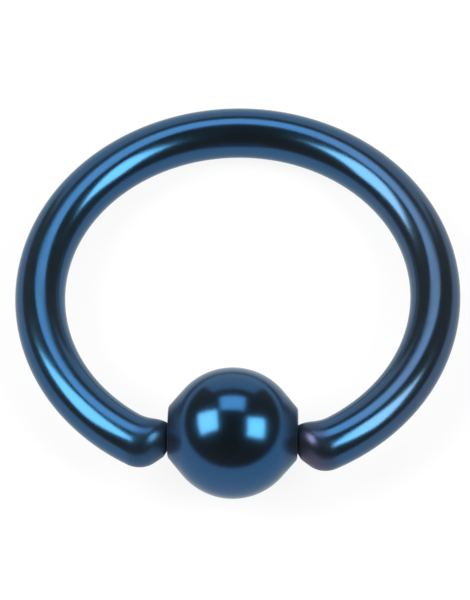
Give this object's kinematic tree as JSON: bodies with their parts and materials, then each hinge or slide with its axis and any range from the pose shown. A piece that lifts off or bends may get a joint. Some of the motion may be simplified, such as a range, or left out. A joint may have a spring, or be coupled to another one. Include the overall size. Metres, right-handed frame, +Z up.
{
  "type": "captive bead ring",
  "caption": "Open hoop of round wire whose tapered, rounded ends seat in the dimples of a captive bead, which turns between them; worn through a piercing.",
  "frame": {"origin": "on the surface that the ring lies on, under the middle of its outline seen from above", "axes": "+Z up, away from the surface; -Y from the middle of the hoop towards the bead; +X along the bead's axis, across the gap in the hoop"},
  "size_m": [0.0142, 0.0142, 0.0042],
  "materials": {
    "hoop_metal": "polished, blue anodised titanium",
    "bead_metal": "polished, blue anodised titanium, a little darker than the hoop"
  },
  "bodies": {
    "hoop": {"ring": "hoop_metal"},
    "captive_bead": {"bead": "bead_metal"}
  },
  "joints": [
    {"name": "bead_spin", "type": "hinge", "parent": "hoop", "child": "captive_bead", "pos_m": [0, -0.00505, 0.00208], "axis": [1, 0, 0], "continuous": true}
  ]
}
